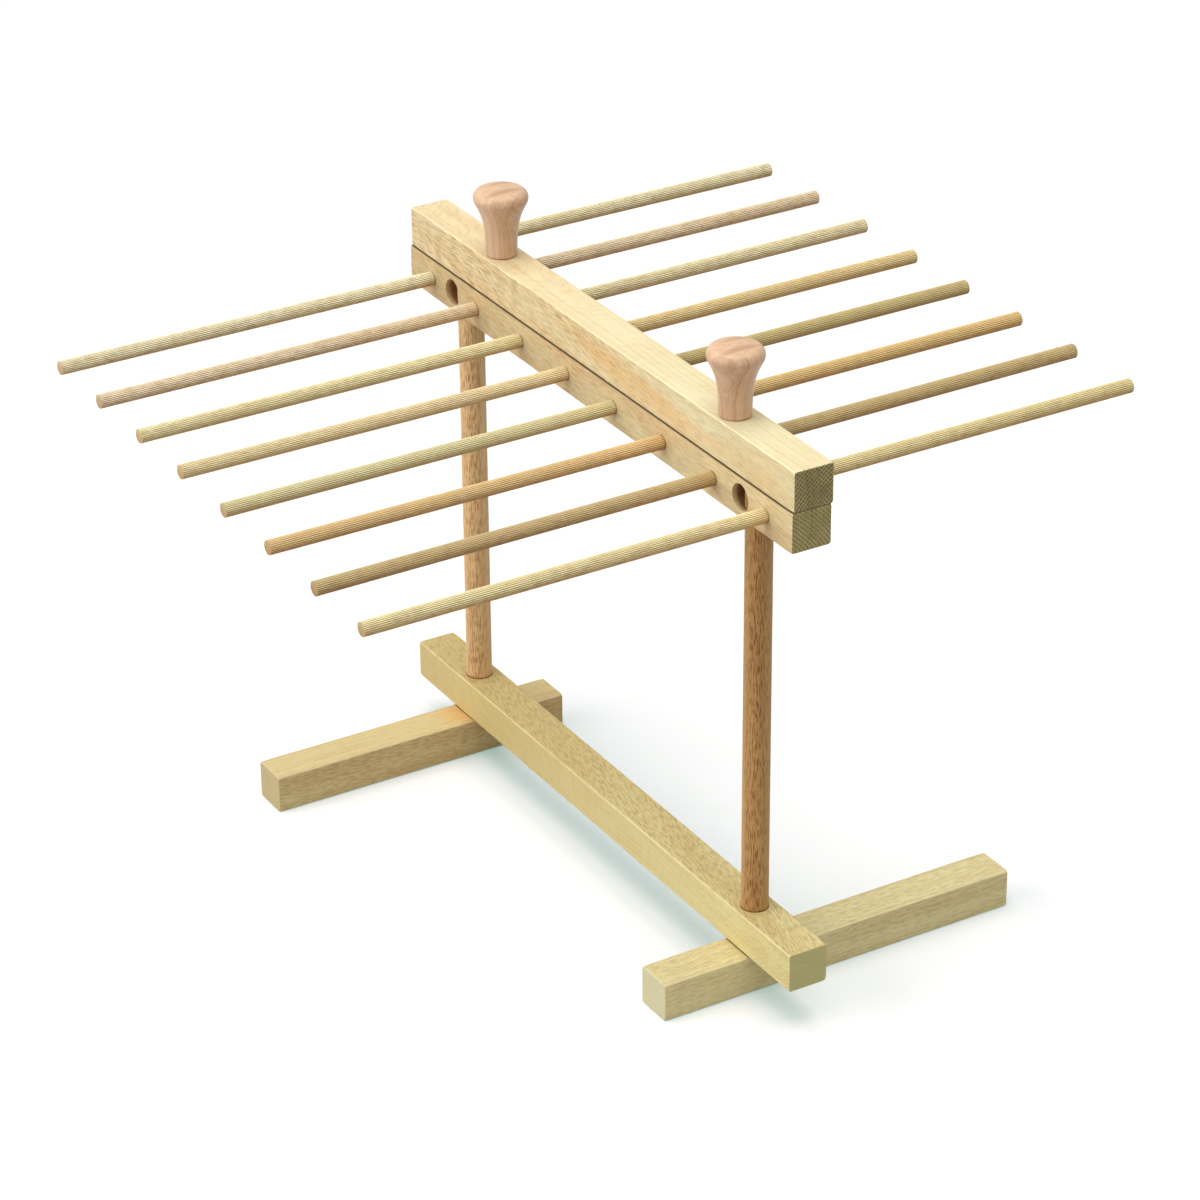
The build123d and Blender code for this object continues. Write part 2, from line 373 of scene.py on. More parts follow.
def as_cut(piece, sharp_angle=math.radians(28)):
    """Applies the piece's modifiers, shades it smooth between its crisp edges and keeps its flats flat."""
    evaluated = piece.evaluated_get(bpy.context.evaluated_depsgraph_get())
    mesh = bpy.data.meshes.new_from_object(evaluated)
    piece.modifiers.clear()
    worked = bmesh.new()
    worked.from_mesh(mesh)
    for face in worked.faces:
        face.smooth = True
    for edge in worked.edges:
        edge.smooth = len(edge.link_faces) == 2 and edge.calc_face_angle(0) < sharp_angle
    worked.to_mesh(mesh)
    worked.free()
    piece.data = mesh
    piece.modifiers.new("flats", "WEIGHTED_NORMAL").keep_sharp = True
    evaluated = piece.evaluated_get(bpy.context.evaluated_depsgraph_get())
    piece.data = bpy.data.meshes.new_from_object(evaluated)
    piece.data.name = piece.name
    piece.modifiers.clear()
    return piece


def stock_bar(name, node, along, seed, corners=(1.05,) * 4, end_round=0.8 * MM):
    """A planed bar as large as the frame's node, its long edges rounded by hand and fuller at its ends.

    corners are the long edges' radii in millimetres: the two upper ones, then the two lower ones.
    """
    low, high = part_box(node)
    middle = (low + high) / 2
    across = [axis for axis in (X, Y, Z) if axis is not along]
    half_length = (high - low).dot(along) / 2
    half = [(high - low).dot(axis) / 2 for axis in across]
    end_steps, arc_steps = 5, 6
    station_gap = 5 * MM
    wear_run, wear_share = 22 * MM, 0.25
    fuller, fuller_run = 0.9 * MM, 3.5 * MM
    least_radius = 0.2 * MM
    eased = [end_round * (1 - math.cos(math.pi / 2 * step / end_steps)) for step in range(end_steps)]
    plain_count = round(2 * half_length / station_gap)
    plain_run = 2 * half_length - 2 * end_round
    plain = [end_round + plain_run * step / plain_count for step in range(plain_count + 1)]
    stations = eased + plain + [2 * half_length - back for back in reversed(eased)]
    shape = bmesh.new()
    rings = []
    for station in stations:
        from_end = min(station, 2 * half_length - station)
        inside = max(end_round - from_end, 0)
        inset = end_round - math.sqrt(end_round ** 2 - inside ** 2)
        ring = []
        for quarter in range(4):
            worn = noise.noise(Vector((station / wear_run, quarter * 5.3, seed))) * wear_share * MM
            radius = corners[quarter] * MM + worn * corners[quarter]
            radius = max(radius + fuller * math.exp(-from_end / fuller_run), least_radius)
            signs = ((1, 1), (-1, 1), (-1, -1), (1, -1))[quarter]
            centre = [sign * (size - inset - radius) for sign, size in zip(signs, half)]
            for step in range(arc_steps + 1):
                angle = math.pi / 2 * (quarter + step / arc_steps)
                point = middle + along * (station - half_length)
                point = point + across[0] * (centre[0] + radius * math.cos(angle))
                point = point + across[1] * (centre[1] + radius * math.sin(angle))
                ring.append(shape.verts.new(point))
        rings.append(ring)
    for ring, following in zip(rings, rings[1:]):
        for number in range(len(ring)):
            after = (number + 1) % len(ring)
            shape.faces.new((ring[number], ring[after], following[after], following[number]))
    shape.faces.new(rings[0])
    shape.faces.new(rings[-1])
    return as_piece(shape, name)


def drill(piece, holes):
    """Bores round holes, each its mouth, its direction, its radius, its depth and its rim's easing."""
    overrun = 2 * MM
    bit = bmesh.new()
    for mouth, direction, radius, depth, easing in holes:
        wide = radius + easing
        profile = [(0, depth), (radius, depth), (radius, easing), (wide, 0), (wide, -overrun), (0, -overrun)]
        turned(bit, profile, Vector(mouth), Vector(direction), 48)
    cutter = as_piece(bit, piece.name + "_bit")
    bore = piece.modifiers.new("bore", "BOOLEAN")
    bore.operation = "DIFFERENCE"
    bore.solver = "EXACT"
    bore.object = cutter
    evaluated = piece.evaluated_get(bpy.context.evaluated_depsgraph_get())
    drilled = bpy.data.meshes.new_from_object(evaluated)
    piece.modifiers.clear()
    piece.data = drilled
    bpy.data.objects.remove(cutter)


def middle_of(node):
    low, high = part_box(node)
    return (low + high) / 2


def log_size(node, along):
    """The size of the frame's node in millimetres, first along its grain, then across it."""
    low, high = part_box(node)
    spans = (high - low) / MM
    return (spans.y, spans.x, spans.z) if along is Y else (spans.x, spans.y, spans.z)


post_places = {end: middle_of("post_" + end) for end in ("near", "far")}
post_radius = (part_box("post_near")[1].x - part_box("post_near")[0].x) / 2
post_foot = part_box("post_near")[0].z
glue_gap = 0.05 * MM
rail_hole_easing = 0.45 * MM
screw_bore = 3.05 * MM
screw_bore_depth = 12 * MM
screw_bore_easing = 0.2 * MM
rail_low, rail_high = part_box("rail")
rail_bar = stock_bar("rail_bar", "rail", Y, seed=1.7, corners=(1.1, 1.1, 1.7, 1.7))
rail_holes = []
for place in post_places.values():
    socket_mouth = (place.x, place.y, rail_high.z)
    rail_holes.append((socket_mouth, -Z, post_radius + glue_gap, rail_high.z - post_foot, rail_hole_easing))
drill(rail_bar, rail_holes)
drill(rail_bar, [
    ((place.x, place.y, rail_low.z), Z, screw_bore, screw_bore_depth, screw_bore_easing)
    for place in post_places.values()
])
as_cut(rail_bar)
rail_bar.data.materials.append(beech(
    "rail_beech", middle_of("rail"), "Y", pith=(6, -95),
    near=tint(222, 209, 149), far=tint(201, 181, 121), deep=tint(204, 178, 114), slope=(-0.2, 0.0),
    flecks=(0.6, 0.5), size=log_size("rail", Y), end_grain_and_shade=(178, 176, 118), end_share=0.75, sawn=(0.06, 0.0),
))
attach(rail_bar, "base")
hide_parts("rail")


# Feet
# Two bars of the same stock that cross under the rail's ends, off their middle and in opposite senses.
# Each is bored for its pivot screw, and a recess in its sole takes the screw's head and washer.
foot_looks = {
    "near": dict(pith=(62, 88), near=tint(228, 216, 162), far=tint(228, 216, 162), deep=tint(208, 186, 126),
                 flecks=(0.55, 0.55), end_grain_and_shade=(206, 200, 168)),
    "far": dict(pith=(-92, 30), near=tint(220, 202, 148), far=tint(218, 198, 138), deep=tint(202, 170, 116),
                flecks=(0.6, 0.55), end_grain_and_shade=(178, 162, 120),
                bands=[((52, 0, 14), (30, 24, 16), tint(226, 166, 96), 0.6)]),
}
recess_depth = 9 * MM
recess_radius = 8 * MM
recess_easing = 0.3 * MM
pivot_bore = 3.1 * MM
breakthrough = 1 * MM
for end, looks in foot_looks.items():
    node = "foot_" + end
    foot_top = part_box(node)[1].z
    pivot = (post_places[end].x, post_places[end].y, 0)
    foot_bar = stock_bar(end + "_foot_bar", node, X, seed=3.1 if end == "near" else 8.4, corners=(1.5,) * 4)
    drill(foot_bar, [(pivot, Z, pivot_bore, foot_top + breakthrough, 0)])
    drill(foot_bar, [(pivot, Z, recess_radius, recess_depth, recess_easing)])
    as_cut(foot_bar)
    foot_bar.data.materials.append(beech(
        end + "_foot_beech", middle_of(node), "X", size=log_size(node, X), end_share=0.7,
        crossing=(pivot[0] - middle_of(node).x) / MM, **looks,
    ))
    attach(foot_bar, end + "_foot")
    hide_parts(node)


# Pivot screws and washers
# A slotted zinc-plated screw comes up through each foot and the rail into the post, with a washer under its
# head and a thin one between foot and rail, which leaves a gap there that painted shade on the foot darkens.
def zinc(name):
    """Zinc-plated steel: fine rings from the lathe, and dull patches where the plating has aged."""
    material = bpy.data.materials.new(name)
    material.use_nodes = True
    material.node_tree.nodes.clear()
    plate = Recipe(material.node_tree)
    place = plate.node("ShaderNodeTexCoord")[3]
    dull = plate.cloud(plate.vector("MULTIPLY", place, (420, 420, 420)), detail=4.0)[0]
    grit = plate.cloud(plate.vector("MULTIPLY", place, (5200, 5200, 5200)), detail=1.0)[0]
    aged = plate.rise(dull, 0.42, 0.68)
    bump = plate.node("ShaderNodeBump", None, {"Strength": 0.3, "Distance": 0.03 * MM, "Height": grit})[0]
    surface = {
        "Base Color": plate.blend(aged, tint(206, 208, 210), tint(164, 166, 165)),
        "Metallic": 1 - aged * 0.15,
        "Roughness": 0.28 + aged * 0.2 + (grit - 0.5) * 0.1,
        "Normal": bump,
    }
    shader = plate.node("ShaderNodeBsdfPrincipled", None, surface)[0]
    plate.node("ShaderNodeOutputMaterial", None, {0: shader})
    return material


def add_input(tree, name, kind, value=None):
    """A named input of a shape's tree, with the value that it has unless a piece sets its own."""
    socket = tree.interface.new_socket(name, in_out="INPUT", socket_type=kind)
    if value is not None:
        socket.default_value = value


def set_inputs(piece, tree, values):
    """Puts the tree on the piece as a modifier and sets its inputs by their identifiers."""
    modifier = piece.modifiers.new(tree.name, "NODES")
    modifier.node_group = tree
    for item in tree.interface.items_tree:
        if item.in_out == "INPUT" and item.name in values:
            modifier[item.identifier] = values[item.name]


pair_tree = bpy.data.node_groups.new("pair_along_rail", "GeometryNodeTree")
pair_tree.interface.new_socket("Geometry", in_out="OUTPUT", socket_type="NodeSocketGeometry")
add_input(pair_tree, "Geometry", "NodeSocketGeometry")
add_input(pair_tree, "Near place", "NodeSocketVector")
add_input(pair_tree, "Spread", "NodeSocketVector")
add_input(pair_tree, "Finish", "NodeSocketMaterial")
pair = Recipe(pair_tree)
one, near_place, spread, finish = pair.node("NodeGroupInput")[:4]
line = pair.node("GeometryNodeMeshLine", {"mode": "OFFSET"},
                 {"Count": 2, "Start Location": near_place, "Offset": spread})[0]
placed = pair.node("GeometryNodeInstanceOnPoints", None, {"Points": line, "Instance": one})[0]
real = pair.node("GeometryNodeRealizeInstances", None, {0: placed})[0]
pair.node("NodeGroupOutput", None, {0: pair.node("GeometryNodeSetMaterial", None, {0: real, 2: finish})[0]})

steel = zinc("zinc_plate")
rail_run = post_places["far"] - post_places["near"]


def fasten_pair(name, shape, nodes, bottom):
    """Puts one turned fastener under each post, as one piece."""
    piece = as_piece(shape, name)
    near_foot = Vector((post_places["near"].x, post_places["near"].y, bottom))
    set_inputs(piece, pair_tree, {"Near place": near_foot, "Spread": rail_run, "Finish": steel})
    as_cut(piece)
    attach(piece, "base")
    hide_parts(*nodes)


def ring_profile(inner, outer, thickness, soft):
    """A flat washer's section, once round, with soft outer edges."""
    return [
        (inner, 0), (outer - soft, 0), (outer, soft), (outer, thickness - soft), (outer - soft, thickness),
        (inner, thickness), (inner, 0),
    ]


screw_low, screw_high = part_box("pivot_screw_near")
head_radius = (screw_high.x - screw_low.x) / 2
head_height = 4 * MM
shank_radius = 3 * MM
screw_length = screw_high.z - screw_low.z
head_soft = 0.7 * MM
head_edge = 0.2 * MM
point_length, point_taper = 2 * MM, 1 * MM
screw = bmesh.new()
turned(screw, [
    (0, 0), (head_radius - head_soft, 0), (head_radius - head_soft * 0.3, head_soft * 0.3),
    (head_radius, head_soft), (head_radius, head_height - head_edge), (head_radius - head_edge, head_height),
    (shank_radius, head_height), (shank_radius, screw_length - point_length),
    (shank_radius - point_taper, screw_length), (0, screw_length),
], Vector(), Z)
slot_width, slot_depth = 1.4 * MM, 1.6 * MM
slot_turn = math.radians(34)
slot = bmesh.new()
bmesh.ops.create_cube(slot, size=1.0)
bmesh.ops.scale(slot, vec=(3 * head_radius, slot_width, 2 * slot_depth), verts=slot.verts)
bmesh.ops.rotate(slot, cent=(0, 0, 0), matrix=Matrix.Rotation(slot_turn, 3, "Z"), verts=slot.verts)
slot_cutter = as_piece(slot, "slot_cutter")
screw_blank = as_piece(screw, "screw_blank")
slotting = screw_blank.modifiers.new("slotting", "BOOLEAN")
slotting.solver = "EXACT"
slotting.object = slot_cutter
slotted = bmesh.new()
slotted.from_object(screw_blank, bpy.context.evaluated_depsgraph_get())
bpy.data.objects.remove(slot_cutter)
bpy.data.objects.remove(screw_blank)
fasten_pair("pivot_screws", slotted, ("pivot_screw_near", "pivot_screw_far"), screw_low.z)

same_place = 0.001 * MM
for kind, edge in (("head_washer", 0.15 * MM), ("spacer_washer", 0.1 * MM)):
    washer_low, washer_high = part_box(kind + "_near")
    washer = bmesh.new()
    outer = (washer_high.x - washer_low.x) / 2
    turned(washer, ring_profile(pivot_bore, outer, washer_high.z - washer_low.z, edge), Vector(), Z)
    bmesh.ops.remove_doubles(washer, verts=washer.verts, dist=same_place)
    fasten_pair(kind + "s", washer, (kind + "_near", kind + "_far"), washer_low.z)


# Posts
# Two round dowels of steamed beech, browner than the bars and not quite alike, glued into the rail. The head
# only rests on them: its lower bar drops over their tops.
post_looks = {
    "near": dict(pith=(-64, 50), near=tint(192, 152, 92), far=tint(180, 144, 82), deep=tint(162, 114, 66),
                 flecks=(1.1, 1.1)),
    "far": dict(pith=(-60, 64), near=tint(216, 178, 124), far=tint(248, 212, 156), deep=tint(196, 154, 102),
                flecks=(0.95, 0.95)),
}
post_tip = 0.8 * MM
screw_hole_depth = 18 * MM
shaft_steps, post_segments = 60, 72
for end, looks in post_looks.items():
    node = "post_" + end
    post_low, post_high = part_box(node)
    post_length = post_high.z - post_low.z
    shape = bmesh.new()
    shaft = [
        (post_radius, post_tip + (post_length - 2 * post_tip) * step / shaft_steps)
        for step in range(shaft_steps + 1)
    ]
    turned(shape, [
        (0, screw_hole_depth), (screw_bore, screw_hole_depth), (screw_bore, 0), (post_radius - post_tip, 0),
        *shaft, (post_radius - post_tip, post_length), (0, post_length),
    ], Vector((post_places[end].x, post_places[end].y, post_low.z)), Z, post_segments)
    post_dowel = as_cut(as_piece(shape, end + "_post_dowel"))
    post_middle = middle_of(node)
    rail_line = (rail_high.z - post_middle.z) / MM
    post_dowel.data.materials.append(beech(end + "_post_beech", post_middle, "Z", foot=rail_line, **looks))
    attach(post_dowel, "base")
    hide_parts(node)


# Lower head bar
# The lower of the two stacked bars. Round sockets in its underside sit on the posts, and two more in its left
# face take them when the comb is put away on its side. The long rods are glued into the same face.
lower_low, lower_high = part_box("lower_bar")
lower_middle = middle_of("lower_bar")
rod_count = 8
rod_numbers = range(1, rod_count + 1)
rod_radius = (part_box("lower_rod_1")[1].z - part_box("lower_rod_1")[0].z) / 2
rod_hole = rod_radius + glue_gap
rod_hole_easing = 0.15 * MM
post_socket = post_radius + 0.1 * MM
post_socket_easing, side_socket_easing = 0.4 * MM, 0.35 * MM
post_socket_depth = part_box("post_near")[1].z - lower_low.z
shank_hole = 4.1 * MM
shank_hole_easing = 0.2 * MM
shank_depth = lower_high.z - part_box("knob_near")[0].z
lower_bar_piece = stock_bar("lower_head_bar", "lower_bar", Y, seed=5.2, corners=(0.45, 0.45, 1.1, 1.1))
sockets = []
for number in rod_numbers:
    rod_low, rod_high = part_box(f"lower_rod_{number}")
    mouth = (lower_low.x, (rod_low.y + rod_high.y) / 2, (rod_low.z + rod_high.z) / 2)
    sockets.append((mouth, X, rod_hole, rod_high.x - lower_low.x, rod_hole_easing))
for end, place in post_places.items():
    mouth = (place.x, place.y, lower_low.z)
    sockets.append((mouth, Z, post_socket, post_socket_depth, post_socket_easing))
    mouth = (lower_middle.x, middle_of("knob_" + end).y, lower_high.z)
    sockets.append((mouth, -Z, shank_hole, shank_depth, shank_hole_easing))
drill(lower_bar_piece, sockets)
side_depth = lower_middle.x - lower_low.x + post_socket
drill(lower_bar_piece, [
    ((lower_low.x, place.y, lower_middle.z), X, post_socket, side_depth, side_socket_easing)
    for place in post_places.values()
])
as_cut(lower_bar_piece)
lower_bar_piece.data.materials.append(beech(
    "lower_bar_beech", lower_middle, "Y", pith=(88, 22),
    near=tint(234, 218, 166), far=tint(208, 188, 140), deep=tint(212, 172, 122), slope=(0.0, 0.05),
    # its dark end colour is end grain darkened further as painted shade
    flecks=(0.55, 0.75), size=log_size("lower_bar", Y), seam=1, end_grain_and_shade=(108, 98, 38), end_share=0.85,
    sawn=(0.35, 0.6), ray=(22.0, 0.85), ray_shade=(160, 128, 66),
))
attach(lower_bar_piece, "lower_comb")
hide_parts("lower_bar")


# Long rods
# Eight fluted beech dowels, glued side by side into the lower bar. Each has 24 straight flutes and flat sawn
# ends with just their rim eased, and no two are quite the same colour.
rods_tree = bpy.data.node_groups.new("fluted_rods", "GeometryNodeTree")
rods_tree.interface.new_socket("Geometry", in_out="OUTPUT", socket_type="NodeSocketGeometry")
add_input(rods_tree, "Geometry", "NodeSocketGeometry")
add_input(rods_tree, "Count", "NodeSocketInt", 8)
add_input(rods_tree, "First rod", "NodeSocketVector")
add_input(rods_tree, "Spacing", "NodeSocketFloat", 63 * MM)
add_input(rods_tree, "Length", "NodeSocketFloat", 300 * MM)
add_input(rods_tree, "Radius", "NodeSocketFloat", 5 * MM)
add_input(rods_tree, "Flutes", "NodeSocketInt", 24)
add_input(rods_tree, "Flute radius", "NodeSocketFloat", 0.45 * MM)
add_input(rods_tree, "Rim easing", "NodeSocketFloat", 0.3 * MM)
add_input(rods_tree, "Bow", "NodeSocketFloat", 0.5 * MM)
add_input(rods_tree, "Half turn", "NodeSocketFloat", 0.0)
add_input(rods_tree, "Seed", "NodeSocketInt", 4)
add_input(rods_tree, "Finish", "NodeSocketMaterial")
rods = Recipe(rods_tree)
(_, count, first_rod, spacing, length, radius, flutes, flute_radius, rim_easing, bow, half_turn, seed,
 finish) = rods.node("NodeGroupInput")[:13]

# The rod's section: a circle with a half-round groove at every flute
points_per_flute = 8
ring = rods.node("GeometryNodeCurvePrimitiveCircle", {"mode": "RADIUS"},
                 {"Resolution": flutes * points_per_flute, "Radius": radius})[0]
spot = rods.node("GeometryNodeInputPosition")[0]
spot_x, spot_y, _ = rods.split(spot)
flute_turn = spot_y.step("ARCTAN2", spot_x) * flutes / (2 * math.pi)
off_flute = ((flute_turn + 0.5).step("FRACT") - 0.5) * radius * (2 * math.pi) / flutes
groove = (flute_radius ** 2 - off_flute ** 2).step("MAXIMUM", 0.0) ** 0.5
ring = rods.node("GeometryNodeStoreNamedAttribute", {"data_type": "FLOAT", "domain": "POINT"},
                 {"Geometry": ring, "Name": "groove", "Value": groove / flute_radius})[0]
grooved_spot = rods.node("ShaderNodeVectorMath", {"operation": "SCALE"}, {0: spot, 3: 1 - groove / radius})[0]
ring = rods.node("GeometryNodeSetPosition", None, {"Geometry": ring, "Position": grooved_spot})[0]

# The rod's line: close points at its two ends, where the rim is eased, and even ones between
line_points = 12
index = rods.node("GeometryNodeInputIndex")[0]
between = ((index - 1) / (line_points - 3)).held()
at_start = index.step("LESS_THAN", 0.5)
at_end = index.step("GREATER_THAN", line_points - 1.5)
line_x = rim_easing + (length - rim_easing * 2) * between + (at_end - at_start) * rim_easing
line = rods.node("GeometryNodeMeshLine", {"mode": "OFFSET"}, {"Count": line_points, "Offset": (MM, 0, 0)})[0]
line = rods.node("GeometryNodeSetPosition", None,
                 {"Geometry": line, "Position": rods.join(line_x, 0.0, 0.0)})[0]
line = rods.node("GeometryNodeMeshToCurve", None, {0: line})[0]
eased = 1 - (at_start + at_end) * rim_easing / radius
line = rods.node("GeometryNodeSetCurveRadius", None, {"Curve": line, "Radius": eased})[0]
rod = rods.node("GeometryNodeCurveToMesh", None, {"Curve": line, "Profile Curve": ring, "Fill Caps": True})[0]

# The row: every rod knows its number, and its free end strays a little from true
row = rods.node("GeometryNodeMeshLine", {"mode": "OFFSET"},
                {"Count": count, "Start Location": first_rod, "Offset": rods.join(0.0, spacing, 0.0)})[0]
row = rods.node("GeometryNodeInstanceOnPoints", None,
                {"Points": row, "Instance": rod, "Rotation": rods.join(0.0, 0.0, half_turn * math.pi)})[0]
row = rods.node("GeometryNodeStoreNamedAttribute", {"data_type": "FLOAT", "domain": "INSTANCE"},
                {"Geometry": row, "Name": "rod", "Value": index})[0]
row = rods.node("GeometryNodeRealizeInstances", None, {0: row})[0]
number = rods.node("GeometryNodeInputNamedAttribute", {"data_type": "FLOAT"}, {"Name": "rod"})[0]
stray = rods.node("FunctionNodeRandomValue", {"data_type": "FLOAT_VECTOR"},
                  {0: (0, -1, -1), 1: (0, 1, 1), "ID": number, "Seed": seed})[0]
out_share = (rods.split(spot)[0] - rods.split(first_rod)[0]) / length
stray = rods.node("ShaderNodeVectorMath", {"operation": "SCALE"}, {0: stray, 3: out_share ** 2 * bow})[0]
row = rods.node("GeometryNodeSetPosition", None, {"Geometry": row, "Offset": stray})[0]
rods.node("NodeGroupOutput", None, {0: rods.node("GeometryNodeSetMaterial", None, {0: row, 2: finish})[0]})

rod_sharp_angle = math.radians(50)
rod_flute_radius = 0.34 * MM


def fluted_row(name, node_stem, outward, material, seed):
    """The row of rods that a head bar carries, made as one piece where the frame's rods are."""
    first_low, first_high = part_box(node_stem + "1")
    last_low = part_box(node_stem + "8")[0]
    start_x = first_low.x if outward > 0 else first_high.x
    start = Vector((start_x, (first_low.y + first_high.y) / 2, (first_low.z + first_high.z) / 2))
    piece = as_piece(bmesh.new(), name)
    set_inputs(piece, rods_tree, {
        "Count": rod_count,
        "First rod": start,
        "Spacing": (last_low.y - first_low.y) / (rod_count - 1),
        "Length": first_high.x - first_low.x,
        "Radius": rod_radius,
        "Half turn": 0.0 if outward > 0 else 1.0,
        "Flute radius": rod_flute_radius,
        "Seed": seed,
        "Finish": material,
    })
    as_cut(piece, rod_sharp_angle)
    return piece


def fluted_finish(name, middle, bar_face, stains, deep):
    """The rods' beech, with each rod's own colour, and painted shade in the flutes, underneath and by their
    bar.
    """
    foot = (bar_face - middle.x) / MM
    return beech(name, middle, "X", pith=(31, 47), near=stains[0], far=stains[0], deep=deep,
                 flecks=(0.4, 0.4), foot=foot, stains=stains)


long_rods = fluted_row("long_rods", "lower_rod_", -1, fluted_finish(
    "long_rod_beech", middle_of("lower_rod_4"), lower_low.x, [
        tint(249, 241, 186), tint(209, 192, 140), tint(240, 211, 151), tint(235, 234, 182),
        tint(254, 242, 191), tint(254, 251, 198), tint(254, 240, 205), tint(254, 252, 212),
    ], tint(214, 172, 120)), 4)
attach(long_rods, "lower_comb")
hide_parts(*[f"lower_rod_{number}" for number in rod_numbers])


# Upper head bar
# The bar that lies on the lower one, a hair further right. It carries the short rods in its right face and
# two holes for the knobs.
upper_low, upper_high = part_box("upper_bar")
upper_middle = middle_of("upper_bar")
upper_bar_piece = stock_bar("upper_head_bar", "upper_bar", Y, seed=7.9, corners=(1.1, 1.1, 0.8, 0.8))
sockets = []
for number in rod_numbers:
    rod_low, rod_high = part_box(f"upper_rod_{number}")
    mouth = (upper_high.x, (rod_low.y + rod_high.y) / 2, (rod_low.z + rod_high.z) / 2)
    sockets.append((mouth, -X, rod_hole, upper_high.x - rod_low.x, rod_hole_easing))
drill(upper_bar_piece, sockets)
through = upper_high.z - upper_low.z + breakthrough
drill(upper_bar_piece, [
    ((lower_middle.x, middle_of("knob_" + end).y, upper_high.z), -Z, shank_hole, through, shank_hole_easing)
    for end in post_places
])
as_cut(upper_bar_piece)
upper_bar_piece.data.materials.append(beech(
    "upper_bar_beech", upper_middle, "Y", pith=(92, 12),
    near=tint(234, 225, 183), far=tint(234, 216, 174), deep=tint(222, 186, 126), slope=(0.0, 0.08),
    # its dark end colour is end grain darkened further as painted shade
    flecks=(0.4, 1.1), size=log_size("upper_bar", Y), seam=-1, end_grain_and_shade=(92, 76, 16), end_share=0.9,
    sawn=(0.6, 0.35), ray=(22.0, 0.8), ray_shade=(156, 128, 62),
    bands=[((-60, 15, 4), (125, 9, 12), tint(232, 180, 104), 0.5)],
))
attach(upper_bar_piece, "upper_comb")
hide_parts("upper_bar")


# Short rods
# Eight more fluted dowels like the long ones, cut shorter, in the other side of the head.
short_rods = fluted_row("short_rods", "upper_rod_", 1, fluted_finish(
    "short_rod_beech", middle_of("upper_rod_4"), upper_high.x, [
        tint(246, 236, 177), tint(214, 196, 140), tint(244, 214, 145), tint(214, 202, 141),
        tint(254, 233, 169), tint(254, 250, 203), tint(254, 240, 203), tint(254, 250, 206),
    ], tint(206, 166, 112)), 9)
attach(short_rods, "upper_comb")
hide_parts(*[f"upper_rod_{number}" for number in rod_numbers])


# Knobs
# Two knobs turned from pinkish beech and finely sanded. Their shanks go down through the upper bar into the
# lower one as pins that hold the two together. Their sizes are in millimetres: radius, height over the bar.
knob_height = 50.4
base_radius, base_rounding = 11.1, 1.4
rim_radius, rim_height, rim_rounding, rim_stop = 19.5, 42.9, 6.1, 79
flank = [
    (base_radius, base_rounding), (11.2, 6.0), (11.45, 12.0), (12.0, 19.0), (12.85, 24.5), (13.9, 28.7),
    (15.0, 32.0), (16.4, 35.2), (17.9, 38.2), (19.05, 40.7), (rim_radius, rim_height),
]
crown = [(14.6, 48.9), (11.0, 49.55), (7.3, 50.02), (3.6, 50.31), (0.0, knob_height)]


def smooth_line(points, steps):
    """A smooth line through the points, as many steps between each two."""
    ends = [points[0], *points, points[-1]]
    line = []
    for before, start, stop, after in zip(ends, ends[1:], ends[2:], ends[3:]):
        for step in range(steps):
            share = step / steps
            line.append(tuple(
                0.5 * (2 * b + (c - a) * share + (2 * a - 5 * b + 4 * c - d) * share ** 2
                       + (3 * b - a - 3 * c + d) * share ** 3)
                for a, b, c, d in zip(before, start, stop, after)
            ))
    return line + [points[-1]]


def arc(centre, radius, start, stop, steps):
    """Points of a round in the knob's section, angles from the horizontal in degrees."""
    angles = [math.radians(start + (stop - start) * step / steps) for step in range(steps + 1)]
    return [(centre[0] + radius * math.cos(angle), centre[1] + radius * math.sin(angle)) for angle in angles]


pin_radius, pin_edge = 4.0, 0.4
line_steps, knob_segments = 4, 96
base_round = arc((base_radius - base_rounding, base_rounding), base_rounding, -90, 0, 5)
rim_round = arc((rim_radius - rim_rounding, rim_height), rim_rounding, 0, rim_stop, 16)
head_section = base_round + smooth_line(flank, line_steps)[1:] + rim_round[1:]
head_section += smooth_line(crown, line_steps)[1:]
knob_piths = {"near": (-36.0, 52.0), "far": (48.0, 33.0)}
for end, pith in knob_piths.items():
    node = "knob_" + end
    bar_top = upper_high.z
    pin_foot = (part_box(node)[0].z - bar_top) / MM
    section = [(0, pin_foot), (pin_radius - pin_edge, pin_foot), (pin_radius, pin_foot + pin_edge)]
    section += [(pin_radius, 0.0)] + head_section
    shape = bmesh.new()
    axis_foot = Vector((lower_middle.x, middle_of(node).y, bar_top))
    profile = [(max(radius, 0) * MM, height * MM) for radius, height in section]
    turned(shape, profile, axis_foot, Z, knob_segments)
    knob_piece = as_cut(as_piece(shape, end + "_turned_knob"))
    knob_piece.data.materials.append(beech(
        end + "_knob_beech", (axis_foot.x, axis_foot.y, bar_top + knob_height * MM / 2), "Z", pith,
        near=tint(210, 174, 138), far=tint(214, 176, 140), deep=tint(170, 122, 86), flecks=(0.3, 0.3),
        bands=[((25, -7, 3), (6, 4.0, 16), tint(158, 106, 78), 0.75),
               ((25, 8, -4), (6, 3.5, 14), tint(164, 114, 84), 0.7)],
        foot=-knob_height / 2, end_grain_and_shade=(236, 200, 160), end_share=0.25, sanded=0.18,
    ))
    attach(knob_piece, end + "_knob")
    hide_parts(node)


